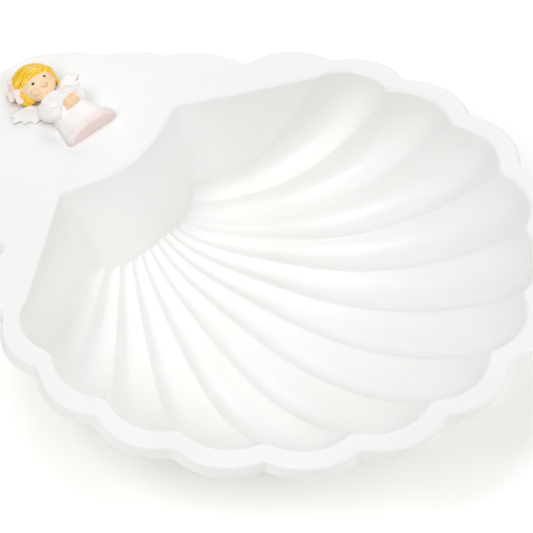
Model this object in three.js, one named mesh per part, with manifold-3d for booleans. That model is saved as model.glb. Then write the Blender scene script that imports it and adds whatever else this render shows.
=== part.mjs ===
// A white scallop-shell baptism dish with a small praying angel lying on its back plate.
// Millimetres, +Z up. The dish stands on the flats of its lowest flutes at Z = 0, the fan opens
// toward -Y and the hinge plate is at +Y. The origin is under the middle of the whole dish.

import * as THREE from "three";
import { mergeVertices } from "three/addons/utils/BufferGeometryUtils.js";
import Module from "manifold-3d";

const wasm = await Module();
wasm.setup();

// Driving dimensions of the dish
const RIM_HEIGHT = 49.5;          // table to the top of the flange and the back plate
const FLANGE_THICKNESS = 6.5;
const EDGE_CHAMFER = 0.9;
const FLUTES = 13;
const SIDE_CREST = FLUTES / 2;    // crests are numbered -6.5 to 6.5 across the fan
const FAN_CENTRE_Y = -15.2;       // centre of the circle that the fan's notches lie on
const NOTCH_RADIUS = 103;
const NOTCH_STEP = 19.67;         // degrees from notch to notch at the front
const OUTLINE_CROWDING = 0.032;   // how the notches draw together toward the hinge
const FAN_RISE = 0.208;           // height of a fan scallop as a share of its chord
const BAY_RISE = 0.245;           // the same for the flutes' ends at the flange's inner edge

// Notches of the hinge plate on the +X side, from the waist back, with the rise of the scallop
// that comes before each of them
const PLATE_NOTCHES = [
  { x: 65.4, y: 57.5, rise: 0.205 },
  { x: 49.0, y: 83.4, rise: 0.148 },
  { x: 34.0, y: 100.5, rise: 0.123 },
  { x: 12.6, y: 122.2, rise: 0.082 },
];
const REAR_RISE = 0.07;

// The bowl's two skins. Each has its top edge in the plane topZ, its crests run straight in plan
// from the focus to the rim, and its back wall drops from the hinge line to the rib start.
const INNER_SKIN = {
  topZ: RIM_HEIGHT,
  rimRadius: 93,
  crowding: 0.023,
  focusY: 61.2,
  startReach: 18.9,
  hingeY: 54.3,
  hingeCornerX: 31.4,
  hingeCornerY: 62.5,
  depth: 44.6,
  columns: 6,
  rows: 15,
};
const OUTER_SKIN = {
  topZ: RIM_HEIGHT - FLANGE_THICKNESS,
  rimRadius: 95,
  crowding: 0.019,
  focusY: 65.2,
  startReach: 19.9,
  hingeY: 56.6,
  hingeCornerX: 33.6,
  hingeCornerY: 65.8,
  depth: 42.3,
  columns: 4,
  rows: 11,
};
const START_FLARE = 11.15;        // how much farther the rib start is from the focus at the sides
const HINGE_BEND = 1.7;           // how the hinge line turns from its middle to its corners
const SIDE_DEPTH_LOSS = 11.1;     // the side crests run this much shallower than the middle ones
const DEEPEST_SHARE = 0.3;        // where along a crest the bowl is deepest
const RIM_CLIMB = 2.2;            // how steeply the bowl climbs to the rim
const START_LIFT = 0.2;           // how far the crests rise again at the rib start
const START_LIFT_LOSS = 0.16;     // less of that rise at the side crests
const FLUTE_DEPTH = 0.2;          // depth of a flute as a share of its width
const SHARP_FROM = 0.6;           // the rounded ribs are sharp crests from here outward
const FLUTE_FADE = 0.12;          // the flutes run out over this share at the rim
const EAR_BOW = 0.4;              // how far the ear line bows toward the bowl
const ROW_CROWDING = 1.4;         // the skins' rows lie closer together toward the rim
const WALL_STATIONS = [0, 0.5, 0.93, 1];
const SCALLOP_STEPS = 6;

// Driving dimensions of the angel. Its own frame starts on the plate's top between the shoulders.
const ANGEL_Y = 95;
const CUT_GAP = 0.3;              // room between a piece and the neighbour that it is pressed on
const CUTTER_SIZE = 60;           // half width and height of the cutting solids
const HEAD = { centre: [0, 10, 4.4], radii: [7.9, 7.4, 4.9] };
const HAIR = { centre: [0.5, 12.7, 4.3], radii: [9.9, 8.9, 5.5] };
const FACE_WINDOW = { centre: [0.4, 6.9], radii: [7.5, 7] };
const HANDS = { centre: [0.4, -7.2, 7.3], radii: [4.2, 2.3, 2.1], turn: -0.2 };
const DRESS_SIDES = 12;
const DRESS_ROUNDNESS = 0.7;      // under 1 the dress's section is fuller than a half ellipse
const SMOOTH_SEGMENTS = 18;
const TUBE_SIDES = 10;
const TUBE_STEPS = 7;

// The dress from neck to hem: place along the body, half width and height over the plate
const DRESS_SECTIONS = [
  { y: 5.2, half: 3.4, height: 4.2 },
  { y: 2.8, half: 6.0, height: 6.2 },
  { y: -1.5, half: 7.4, height: 7.2 },
  { y: -5.2, half: 7.6, height: 7.1 },
  { y: -10.0, half: 9.1, height: 6.9 },
  { y: -15.0, half: 11.0, height: 6.7 },
  { y: -18.4, half: 12.0, height: 6.6 },
  { y: -19.7, half: 11.7, height: 6.1 },
];
const SLEEVE_PATH = [[6.2, 3.0, 2.8], [7.6, -0.8, 3.8], [6.2, -4.8, 5.4], [3.6, -7.0, 7.2]];
const SLEEVE_RADII = [2.0, 3.3, 2.9, 2.1];
const BOW_LOBES = [
  { path: [[-8.6, 14.6, 4.4], [-7.0, 17.4, 5.0], [-4.4, 19.9, 4.4]], radii: [1.3, 2.5, 1.9] },
  { path: [[-8.6, 14.8, 4.2], [-9.5, 12.0, 3.6], [-9.9, 9.6, 2.4]], radii: [1.3, 2.3, 1.6] },
];
const BOW_KNOT = { centre: [-8.9, 14.7, 4.9], radii: [1.8, 1.8, 1.8] };

// A wing seen from above: it starts under the shoulder and turns round three feather tips, each
// a curve through a bend to an end
const WING_THICKNESS = 2.2;
const WING_EDGE_SEGMENTS = 5;
const WING_ROOT = [[5, 6.5], [5, 0], [8.5, -1.4]];
const WING_FEATHERS = [
  { bend: [12.6, -2], end: [13.6, 0.6] },
  { bend: [16.4, 0.8], end: [16.5, 3.6] },
  { bend: [19, 4.8], end: [18.4, 7.6] },
  { bend: [15.6, 9.6], end: [11.6, 8.8] },
];

// Points closer than these are one point
const MERGE_DISTANCE = 1e-4;
const SHORTEST_EDGE = 1e-6;

const lerp = THREE.MathUtils.lerp;

// Outline

function fanPoint(radius, crest, crowding) {
  const angle = THREE.MathUtils.degToRad(NOTCH_STEP * crest - crowding * crest ** 3);
  return new THREE.Vector2(radius * Math.sin(angle), FAN_CENTRE_Y - radius * Math.cos(angle));
}

// A point on the arc from one notch to the next, bulging to the right of the way it runs
function scallopPoint(from, to, riseShare, share) {
  const chord = from.distanceTo(to);
  const rise = riseShare * chord;
  const radius = (chord * chord / 4 + rise * rise) / (2 * rise);
  const angle = Math.asin(chord / 2 / radius) * (2 * share - 1);
  const along = new THREE.Vector2().subVectors(to, from).normalize();
  const outward = new THREE.Vector2(along.y, -along.x);
  return from.clone()
    .addScaledVector(along, chord / 2 + radius * Math.sin(angle))
    .addScaledVector(outward, radius * Math.cos(angle) - (radius - rise));
}

// All notches counter-clockwise from the -X waist side, each with the rise of the scallop after it
function outlineNotches() {
  const fan = [];
  for (let i = 0; i <= FLUTES; i += 1) {
    fan.push({ point: fanPoint(NOTCH_RADIUS, i - SIDE_CREST, OUTLINE_CROWDING), rise: FAN_RISE });
  }
  const right = PLATE_NOTCHES.map((notch, i) => ({
    point: new THREE.Vector2(notch.x, notch.y),
    rise: i + 1 < PLATE_NOTCHES.length ? PLATE_NOTCHES[i + 1].rise : REAR_RISE,
  }));
  fan[FLUTES].rise = PLATE_NOTCHES[0].rise;
  const left = PLATE_NOTCHES.map((notch) => ({
    point: new THREE.Vector2(-notch.x, notch.y),
    rise: notch.rise,
  })).reverse();
  return [...fan, ...right, ...left];
}

function outlineLoop() {
  const notches = outlineNotches();
  const loop = [];
  notches.forEach((notch, i) => {
    const next = notches[(i + 1) % notches.length];
    for (let step = 0; step < SCALLOP_STEPS; step += 1) {
      loop.push(scallopPoint(notch.point, next.point, notch.rise, step / SCALLOP_STEPS));
    }
  });
  return loop;
}

// The loop moved inward by a distance, each point along the bisector of its two edges
function insetLoop(loop, distance) {
  return loop.map((point, i) => {
    const before = loop[(i + loop.length - 1) % loop.length];
    const after = loop[(i + 1) % loop.length];
    const first = new THREE.Vector2().subVectors(point, before).normalize();
    const second = new THREE.Vector2().subVectors(after, point).normalize();
    const inward = new THREE.Vector2(-first.y - second.y, first.x + second.x).normalize();
    const stretch = inward.dot(new THREE.Vector2(-first.y, first.x));
    return point.clone().addScaledVector(inward, distance / stretch);
  });
}

// Bowl skins

// Where a skin's crest or flute line meets the rim: the flute's number and the share across it
function rimPoint(skin, flute, share) {
  const from = fanPoint(skin.rimRadius, flute - SIDE_CREST, skin.crowding);
  const to = fanPoint(skin.rimRadius, flute + 1 - SIDE_CREST, skin.crowding);
  return scallopPoint(from, to, BAY_RISE, share);
}

// Where the same line starts, on the curve at the foot of the back wall
function startPoint(skin, flute, share) {
  const focus = new THREE.Vector2(0, skin.focusY);
  const ray = rimPoint(skin, flute, share).sub(focus);
  const side = fanPoint(skin.rimRadius, SIDE_CREST, skin.crowding).sub(focus);
  const spread = Math.atan2(ray.x, -ray.y) / Math.atan2(side.x, -side.y);
  const reach = skin.startReach + START_FLARE * spread ** 2;
  return focus.addScaledVector(ray.normalize(), reach);
}

function crestDepth(skin, flute, share, along) {
  const side = Math.abs(flute + share - SIDE_CREST) / SIDE_CREST;
  const deepest = skin.depth - SIDE_DEPTH_LOSS * side ** 4;
  const lift = START_LIFT - START_LIFT_LOSS * side ** 2;
  const before = Math.max(0, DEEPEST_SHARE - along) / DEEPEST_SHARE;
  const after = Math.max(0, along - DEEPEST_SHARE) / (1 - DEEPEST_SHARE);
  return deepest * (1 - lift * before ** 4 - after ** RIM_CLIMB);
}

// How far a flute lies below its crests
function fluteDepth(skin, flute, share, along) {
  const startWidth = startPoint(skin, flute, 0).distanceTo(startPoint(skin, flute, 1));
  const rimWidth = rimPoint(skin, flute, 0).distanceTo(rimPoint(skin, flute, 1));
  const width = lerp(startWidth, rimWidth, along);
  const round = (1 - Math.cos(2 * Math.PI * share)) / 2;
  const sharp = 1 - (2 * share - 1) ** 2;
  const section = lerp(round, sharp, Math.min(1, along / SHARP_FROM));
  const fade = 1 - (Math.max(0, along - 1 + FLUTE_FADE) / FLUTE_FADE) ** 2;
  return FLUTE_DEPTH * width * section * fade;
}

function bowlPoint(skin, flute, share, along, fluted = true) {
  const start = startPoint(skin, flute, share);
  const place = start.lerp(rimPoint(skin, flute, share), along);
  const flutes = fluted ? fluteDepth(skin, flute, share, along) : 0;
  const z = skin.topZ - crestDepth(skin, flute, share, along) - flutes;
  return new THREE.Vector3(place.x, place.y, Math.max(0, z));
}

// The skin's columns from the -X side crest to the +X one
function skinColumns(skin) {
  const columns = [];
  for (let i = 0; i < FLUTES * skin.columns; i += 1) {
    columns.push({ flute: Math.floor(i / skin.columns), share: (i % skin.columns) / skin.columns });
  }
  columns.push({ flute: FLUTES - 1, share: 1 });
  return columns;
}

function skinStations(skin) {
  const stations = [];
  for (let i = 0; i <= skin.rows; i += 1) {
    stations.push(1 - (1 - i / skin.rows) ** ROW_CROWDING);
  }
  return stations;
}

function hingePoint(skin, across) {
  const bend = Math.abs(across) ** HINGE_BEND;
  const y = lerp(skin.hingeY, skin.hingeCornerY, bend);
  return new THREE.Vector3(across * skin.hingeCornerX, y, skin.topZ);
}

// The ear line from the hinge's corner to the end of the side crest, bowed a little to the bowl
function earPoint(skin, side, along) {
  const corner = hingePoint(skin, side);
  const rim = side > 0 ? rimPoint(skin, FLUTES - 1, 1) : rimPoint(skin, 0, 0);
  const bow = 4 * EAR_BOW * along * (1 - along);
  const y = lerp(corner.y, rim.y, along) - bow;
  return new THREE.Vector3(lerp(corner.x, rim.x, along), y, skin.topZ);
}

// Top and foot of the back wall, from the -X ear end along the hinge to the +X ear end
function wallEdges(skin) {
  const edges = [];
  const inward = skinStations(skin).slice(1).reverse();
  for (const along of inward) {
    edges.push({ top: earPoint(skin, -1, along), foot: bowlPoint(skin, 0, 0, along) });
  }
  for (const { flute, share } of skinColumns(skin)) {
    const across = (flute + share - SIDE_CREST) / SIDE_CREST;
    edges.push({
      top: hingePoint(skin, across),
      foot: bowlPoint(skin, flute, share, 0),
      smoothFoot: bowlPoint(skin, flute, share, 0, false),
    });
  }
  for (const along of inward.reverse()) {
    edges.push({ top: earPoint(skin, 1, along), foot: bowlPoint(skin, FLUTES - 1, 1, along) });
  }
  return edges;
}

function wallGrid(skin) {
  const edges = wallEdges(skin);
  return WALL_STATIONS.map((down) => edges.map(({ top, foot, smoothFoot }) => {
    const end = down < 1 && smoothFoot ? smoothFoot : foot;
    return new THREE.Vector3().lerpVectors(top, end, down);
  }));
}

function bowlGrid(skin) {
  const columns = skinColumns(skin);
  return skinStations(skin).map((along) => (
    columns.map(({ flute, share }) => bowlPoint(skin, flute, share, along))
  ));
}

// The skin's top edge, counter-clockwise: the rim, then the hinge line back to the start
function skinLoop(skin) {
  const rim = skinColumns(skin).map(({ flute, share }) => bowlPoint(skin, flute, share, 1));
  const hinge = wallEdges(skin).map(({ top }) => top).reverse();
  return [...rim, ...hinge.slice(1, -1)];
}

// Triangle lists

function addTriangle(triangles, a, b, c) {
  const closest = Math.min(a.distanceTo(b), b.distanceTo(c), c.distanceTo(a));
  if (closest > SHORTEST_EDGE) {
    triangles.push(a, b, c);
  }
}

// Two triangles for each cell of a grid of points; flip turns their faces to the other side
function addGrid(triangles, rows, flip) {
  for (let j = 0; j + 1 < rows.length; j += 1) {
    for (let i = 0; i + 1 < rows[j].length; i += 1) {
      const corners = [rows[j][i], rows[j][i + 1], rows[j + 1][i + 1], rows[j + 1][i]];
      if (flip) {
        corners.reverse();
      }
      addTriangle(triangles, corners[0], corners[1], corners[2]);
      addTriangle(triangles, corners[0], corners[2], corners[3]);
    }
  }
}

// A flat ring at one height between two loops, facing up or down
function addRing(triangles, outer, inner, z, facesUp) {
  const hole = inner.map((point) => new THREE.Vector2(point.x, point.y));
  const points = [...outer, ...hole].map((point) => new THREE.Vector3(point.x, point.y, z));
  for (const face of THREE.ShapeUtils.triangulateShape(outer, [hole])) {
    const [a, b, c] = face.map((index) => points[index]);
    const turn = (b.x - a.x) * (c.y - a.y) - (b.y - a.y) * (c.x - a.x);
    if (turn > 0 === facesUp) {
      addTriangle(triangles, a, b, c);
    } else {
      addTriangle(triangles, a, c, b);
    }
  }
}

function atHeight(loop, z) {
  const points = loop.map((point) => new THREE.Vector3(point.x, point.y, z));
  return [...points, points[0]];
}

function geometryFrom(triangles) {
  const geometry = new THREE.BufferGeometry().setFromPoints(triangles);
  return mergeVertices(geometry, MERGE_DISTANCE);
}

// Shell dish: inner skin, flange top, rounded edge band, flange underside and outer skin
function dishGeometry() {
  const triangles = [];
  const outline = outlineLoop();
  const edge = insetLoop(outline, EDGE_CHAMFER);
  const top = RIM_HEIGHT;
  const bottom = RIM_HEIGHT - FLANGE_THICKNESS;
  addGrid(triangles, bowlGrid(INNER_SKIN), true);
  addGrid(triangles, wallGrid(INNER_SKIN), true);
  addRing(triangles, edge, skinLoop(INNER_SKIN), top, true);
  addGrid(triangles, [
    atHeight(edge, top),
    atHeight(outline, top - EDGE_CHAMFER),
    atHeight(outline, bottom + EDGE_CHAMFER),
    atHeight(edge, bottom),
  ], true);
  addRing(triangles, edge, skinLoop(OUTER_SKIN), bottom, false);
  addGrid(triangles, bowlGrid(OUTER_SKIN), false);
  addGrid(triangles, wallGrid(OUTER_SKIN), false);
  return geometryFrom(triangles);
}

// Solids of the angel

function solidFrom(geometry) {
  const plain = geometry.clone();
  plain.deleteAttribute("normal");
  plain.deleteAttribute("uv");
  const merged = mergeVertices(plain, MERGE_DISTANCE);
  return new wasm.Manifold(new wasm.Mesh({
    numProp: 3,
    vertProperties: new Float32Array(merged.attributes.position.array),
    triVerts: new Uint32Array(merged.index.array),
  }));
}

function geometryOf(solid) {
  const { vertProperties, triVerts } = solid.getMesh();
  const geometry = new THREE.BufferGeometry();
  geometry.setAttribute("position", new THREE.BufferAttribute(vertProperties, 3));
  geometry.setIndex(new THREE.BufferAttribute(triVerts, 1));
  return geometry;
}

function ellipsoid({ centre, radii, turn = 0 }, grow = 0) {
  const geometry = new THREE.SphereGeometry(1, SMOOTH_SEGMENTS, SMOOTH_SEGMENTS / 2);
  geometry.rotateX(Math.PI / 2);
  geometry.scale(radii[0] + grow, radii[1] + grow, radii[2] + grow);
  geometry.rotateZ(turn);
  geometry.translate(...centre);
  return solidFrom(geometry);
}

// Everything above the plate, to cut a piece off flat where it is glued down
function abovePlate() {
  const box = new THREE.BoxGeometry(2 * CUTTER_SIZE, 2 * CUTTER_SIZE, CUTTER_SIZE);
  box.translate(0, 0, CUTTER_SIZE / 2);
  return solidFrom(box);
}

function signedVolume(triangles) {
  let volume = 0;
  for (let i = 0; i < triangles.length; i += 3) {
    volume += triangles[i].dot(new THREE.Vector3().crossVectors(triangles[i + 1], triangles[i + 2]));
  }
  return volume / 6;
}

// A solid through rings of equal point counts, closed by a fan at each end
function loft(rings) {
  const triangles = [];
  addGrid(triangles, rings.map((ring) => [...ring, ring[0]]), true);
  const ends = [rings[0], [...rings[rings.length - 1]].reverse()];
  for (const ring of ends) {
    const middle = ring.reduce((sum, point) => sum.add(point), new THREE.Vector3());
    middle.divideScalar(ring.length);
    ring.forEach((point, i) => {
      addTriangle(triangles, middle, point, ring[(i + 1) % ring.length]);
    });
  }
  if (signedVolume(triangles) < 0) {
    triangles.reverse();
  }
  return solidFrom(geometryFrom(triangles));
}

function dress(grow = 0) {
  const rings = DRESS_SECTIONS.map(({ y, half, height }, i) => {
    const end = i === 0 ? grow : -grow;
    const shift = i === 0 || i === DRESS_SECTIONS.length - 1 ? end : 0;
    const ring = [];
    for (let side = 0; side <= DRESS_SIDES; side += 1) {
      const angle = Math.PI * side / DRESS_SIDES;
      const x = (half + grow) * Math.cos(angle);
      const z = (height + grow) * Math.sin(angle) ** DRESS_ROUNDNESS;
      ring.push(new THREE.Vector3(x, y + shift, z));
    }
    return ring;
  });
  return loft(rings);
}

// A round solid of changing thickness along a smooth curve
function taperedTube(path, radii, grow = 0) {
  const curve = new THREE.CatmullRomCurve3(path.map((point) => new THREE.Vector3(...point)));
  const frames = curve.computeFrenetFrames(TUBE_STEPS, false);
  const rings = [];
  for (let step = 0; step <= TUBE_STEPS; step += 1) {
    const share = step / TUBE_STEPS * (radii.length - 1);
    const first = Math.min(Math.floor(share), radii.length - 2);
    const radius = lerp(radii[first], radii[first + 1], share - first) + grow;
    const centre = curve.getPointAt(step / TUBE_STEPS);
    const ring = [];
    for (let side = 0; side < TUBE_SIDES; side += 1) {
      const angle = 2 * Math.PI * side / TUBE_SIDES;
      ring.push(centre.clone()
        .addScaledVector(frames.normals[step], radius * Math.cos(angle))
        .addScaledVector(frames.binormals[step], radius * Math.sin(angle)));
    }
    rings.push(ring);
  }
  return loft(rings);
}

function mirrored(points, side) {
  return points.map(([x, y, z]) => [side * x, y, z]);
}

function sleeve(side, grow = 0) {
  return taperedTube(mirrored(SLEEVE_PATH, side), SLEEVE_RADII, grow);
}

// A wing lying on the plate
function wing(side) {
  const outline = new THREE.Shape(WING_ROOT.map(([x, y]) => new THREE.Vector2(x, y)));
  for (const { bend, end } of WING_FEATHERS) {
    outline.quadraticCurveTo(...bend, ...end);
  }
  const geometry = new THREE.ExtrudeGeometry(outline, {
    depth: WING_THICKNESS,
    bevelEnabled: false,
    curveSegments: WING_EDGE_SEGMENTS,
  });
  const solid = solidFrom(geometry);
  return side > 0 ? solid : solid.mirror([1, 0, 0]);
}

function hairMass(grow = 0) {
  const window = new THREE.CylinderGeometry(1, 1, CUTTER_SIZE, SMOOTH_SEGMENTS);
  window.rotateX(Math.PI / 2);
  window.scale(FACE_WINDOW.radii[0], FACE_WINDOW.radii[1], 1);
  window.translate(...FACE_WINDOW.centre, 0);
  return ellipsoid(HAIR, grow).subtract(solidFrom(window));
}

function bow() {
  return BOW_LOBES
    .map(({ path, radii }) => taperedTube(path, radii))
    .reduce((joined, lobe) => joined.add(lobe), ellipsoid(BOW_KNOT));
}

// The angel's pieces, each cut clear of the ones that it is pressed on
function angelSolids() {
  const plate = abovePlate();
  const head = ellipsoid(HEAD).intersect(plate);
  const roomyHead = ellipsoid(HEAD, CUT_GAP);
  const body = dress().subtract(roomyHead);
  const roomyBody = dress(CUT_GAP);
  const sleeves = [-1, 1].map((side) => (
    sleeve(side).intersect(plate).subtract(roomyBody).subtract(roomyHead)
  ));
  const roomySleeves = sleeve(-1, CUT_GAP).add(sleeve(1, CUT_GAP));
  const hands = ellipsoid(HANDS).subtract(roomyBody).subtract(roomySleeves);
  const figure = roomyBody.add(roomySleeves);
  const hair = hairMass().intersect(plate).subtract(roomyHead).subtract(figure);
  const roomyHair = ellipsoid(HAIR, CUT_GAP);
  const ribbon = bow().intersect(plate).subtract(roomyHair).subtract(roomyHead);
  const wings = [-1, 1].map((side) => wing(side).subtract(figure).subtract(roomyHead)
    .subtract(roomyHair));
  return {
    angel_dress: body,
    angel_sleeve_left: sleeves[0],
    angel_sleeve_right: sleeves[1],
    angel_hands: hands,
    angel_head: head,
    angel_hair: hair,
    angel_bow: ribbon,
    angel_wing_left: wings[0],
    angel_wing_right: wings[1],
  };
}

// Materials

function finish(color, roughness) {
  return new THREE.MeshStandardMaterial({ color, roughness, metalness: 0 });
}

const WHITE_GLAZE = finish(0xf6f5f4, 0.35);
const WHITE_CLAY = finish(0xf7f4f3, 0.5);
const FINISHES = {
  angel_dress: WHITE_CLAY,
  angel_sleeve_left: WHITE_CLAY,
  angel_sleeve_right: WHITE_CLAY,
  angel_wing_left: WHITE_CLAY,
  angel_wing_right: WHITE_CLAY,
  angel_hands: finish(0xfed7ac, 0.45),
  angel_head: finish(0xfbdaaf, 0.45),
  angel_hair: finish(0xfcc719, 0.35),
  angel_bow: finish(0xf3dcd8, 0.45),
};

// Assembly

function namedMesh(name, geometry, material) {
  const mesh = new THREE.Mesh(geometry, material);
  mesh.name = name;
  return mesh;
}

const group = new THREE.Group();
group.add(namedMesh("shell_dish", dishGeometry(), WHITE_GLAZE));
const angel = new THREE.Group();
angel.position.set(0, ANGEL_Y, RIM_HEIGHT);
for (const [name, solid] of Object.entries(angelSolids())) {
  angel.add(namedMesh(name, geometryOf(solid), FINISHES[name]));
}
group.add(angel);

export default group;
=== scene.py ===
import math
from types import SimpleNamespace

import bmesh
import bpy
import numpy as np
from mathutils import Matrix, Vector, geometry, kdtree


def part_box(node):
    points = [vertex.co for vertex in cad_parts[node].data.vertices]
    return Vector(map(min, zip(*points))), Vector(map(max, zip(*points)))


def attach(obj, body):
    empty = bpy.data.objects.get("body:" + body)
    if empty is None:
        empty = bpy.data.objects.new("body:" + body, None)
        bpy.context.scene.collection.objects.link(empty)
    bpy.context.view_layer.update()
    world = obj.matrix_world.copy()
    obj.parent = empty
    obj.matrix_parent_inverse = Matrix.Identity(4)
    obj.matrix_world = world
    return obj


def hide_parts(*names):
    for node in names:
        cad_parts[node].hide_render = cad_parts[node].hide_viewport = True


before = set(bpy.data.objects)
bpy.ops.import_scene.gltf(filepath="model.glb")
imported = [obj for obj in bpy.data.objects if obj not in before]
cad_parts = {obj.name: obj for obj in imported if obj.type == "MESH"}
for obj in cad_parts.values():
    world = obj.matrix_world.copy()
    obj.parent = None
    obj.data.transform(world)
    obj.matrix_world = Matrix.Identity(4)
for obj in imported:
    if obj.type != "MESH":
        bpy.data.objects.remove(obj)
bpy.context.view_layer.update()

# Shapes are worked out in millimetres and turned into metres when a piece is made
MM = 0.001

# Dish outline: scallops between notches, on a fan about one centre and then round the plate
PLATE_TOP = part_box("shell_dish")[1][2] / MM
FLANGE_THICKNESS = 6.5
FLUTES = 13
SIDE_CREST = FLUTES / 2
FAN_CENTRE_Y = -15.2
NOTCH_RADIUS = 103
NOTCH_STEP = 19.67                # degrees from notch to notch at the front of the fan
OUTLINE_CROWDING = 0.032          # how fast that angle shrinks toward the sides
FAN_RISE = 0.203                  # a rise is a scallop's height over its chord, as a share of it
BAY_RISE = 0.245
REAR_RISE = 0.07
PLATE_NOTCHES = [
    # x, y, rise of the scallop that leads to it from the fan
    (65.4, 57.5, 0.205), (49.0, 83.4, 0.148), (34.0, 100.5, 0.123), (12.6, 122.2, 0.082),
]
SCALLOP_STEPS = 26
NOTCH_ROUNDING = 1.5
EDGE_RADIUS = 1.3
EDGE_STEPS = 5
SUPPORT_WIDTH = 0.5               # flat strip beside a rounded edge, which keeps the shading even
LEAST_STRETCH = 0.6               # limits how far a corner moves when a loop is moved outward

# Dish bowl: an inner and an outer skin, with columns that run from the start at the hinge to the rim
INNER_SKIN = SimpleNamespace(
    top=PLATE_TOP, rim_radius=93, crowding=0.023, focus_y=61.2, start_reach=18.9, hinge_y=54.3,
    corner_x=31.4, corner_y=62.5, depth=44.6, columns=20, rows=90, fillet=1.3,
)
OUTER_SKIN = SimpleNamespace(
    top=PLATE_TOP - FLANGE_THICKNESS, rim_radius=95, crowding=0.019, focus_y=65.2, start_reach=19.9,
    hinge_y=56.6, corner_x=33.6, corner_y=65.8, depth=42.3, columns=14, rows=50, fillet=1.6,
)
START_FLARE = 11.15               # the outermost columns start this much farther from the focus
HINGE_BEND = 1.7
SIDE_DEPTH_LOSS = 11.1            # the outermost columns are this much shallower
DEEPEST_SHARE = 0.3               # the bowl is deepest at this share of the way to the rim
RIM_CLIMB = 2.2                   # and climbs from there to the rim with this power
START_LIFT = 0.2                  # the start lies higher by this share of the depth
START_LIFT_LOSS = 0.16            # and at the sides by this much less of it
FLUTE_DEPTH = 0.2                 # a flute's depth as a share of its width
START_FLUTE_DEPTH = 0.3           # the rounded ribs at the start are relatively deeper
DEEP_START_REACH = 0.25           # and settle to the common depth over this share of the way
SHARP_FROM = 0.6                  # the rounded ribs become sharp crests by this share of the way
FLUTE_FADE = 0.12                 # the flutes fade out over the last share of the way
CREST_ROUNDING = 0.55
BAY_ROUNDING = 2.4
EAR_BOW = 0.4                     # the back wall's side parts bow inward by this at the top
ROW_CROWDING = 1.3                # rows crowd toward the rim
RIM_PROBE = 0.97                  # the slope at the rim is measured from this share of the way
WALL_ROWS = 34
FOOT_ROWS = 3
FILLET_STEPS = 6
MOST_FILLET = 0.45                # a fillet takes at most this share of the back wall's height
BOWL_SUPPORT_WIDTH = 0.15         # narrower, so that the loops don't cross at the notches
FOOT_SOFTENING = 1.6              # the corner at the foot of the back wall is softened this far
FOOT_PASSES = 6
SOFTENING_SHARE = 0.6
TOP_CORNER_REACH = 2.5            # the back wall's corners are rounded over this length at the top
FOOT_CORNER_REACH = 5.0           # and over this length at the foot
CORNER_SAMPLES = 11

# Angel: its own frame lies on the plate, +Y toward the head, with the origin between the shoulders
ANGEL_Y = 95.0
ANGEL_ORIGIN = Vector((0.0, ANGEL_Y, PLATE_TOP))
GLUE_LINE = 0.02                  # the pieces start this far over the plate
CLAY_VOXEL = 0.22                 # joined clay forms are remeshed at this size
TUBE_ENDS, TUBE_TIP = 0.16, 0.03  # shares of a tube's steps and of its size, at its round ends
HEAD_CENTRE, HEAD_RADII = Vector((0.4, 10.4, 4.3)), Vector((7.4, 6.7, 4.8))
CHEEK_PLACES = [Vector((-3.6, 7.2, 6.4)), Vector((4.2, 7.2, 6.4))]
CHEEK_RADII = (2.2, 2.0, 1.5)
NOSE_CENTRE, NOSE_RADIUS = Vector((0.3, 6.9, 8.15)), 0.95
EYES = [Vector((-2.85, 9.3, 8.5)), Vector((2.95, 9.0, 8.5))]
EYE_RADII = (0.72, 0.52)
SMILE_CENTRE, SMILE_RADIUS, SMILE_WIDTH = (0.3, 7.0), 1.6, 0.14
HAND_CENTRES = [Vector((1.4, -5.9, 7.2)), Vector((0.9, -7.7, 6.9))]
HAND_RADII = Vector((3.9, 1.4, 1.8))
HAND_TURN = 0.12
FINGERS, FINGER_START, FINGER_STEP, FINGER_LIFT = 4, -2.1, 1.35, 0.4
FINGER_RADII = (0.8, 1.35, 1.5)
THUMB_CENTRE, THUMB_RADII = Vector((0.5, -7.1, 8.5)), (1.9, 0.7, 0.6)
DRESS_SECTIONS = [
    # y, half width, height
    (5.2, 3.4, 4.2), (2.8, 6.0, 6.2), (-1.5, 7.4, 7.2), (-5.2, 7.6, 7.1), (-10.0, 9.1, 6.9),
    (-15.0, 11.0, 6.7), (-18.0, 11.9, 6.6), (-19.2, 11.6, 6.2), (-19.7, 10.9, 5.6),
]
DRESS_ROUNDNESS = 0.7
DRESS_RINGS, DRESS_SIDES = 90, 60
HEM_START = -16.9
HEM_RAISE = 0.22                  # the hem band stands out this far
HEM_SKEW = 0.05
FOLD_START, FOLD_RUN = -6, 12     # the folds begin at this y and deepen over this length
FOLDS = [
    # depth as a share of the size, waves over the half turn, phase
    (0.018, 11, 0.6), (0.012, 6, 0.0),
]
SLEEVE_PATH = [(5.8, 2.9, 3.0), (7.5, -1.9, 3.9), (7.1, -5.6, 5.1), (4.7, -7.0, 6.6)]
SLEEVE_RADII = [2.0, 3.2, 3.0, 2.4]
CUFF_RADII = (1.0, 2.45, 2.35)
CUFF_SHARE = 0.12                 # the cuff sits this share of the way back from the sleeve's end
CUFF_TURN, CUFF_TILT = 0.75, 0.5
CUFF_REACH = 5.2                  # the sleeves are pink this near to the middle of the hands

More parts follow.
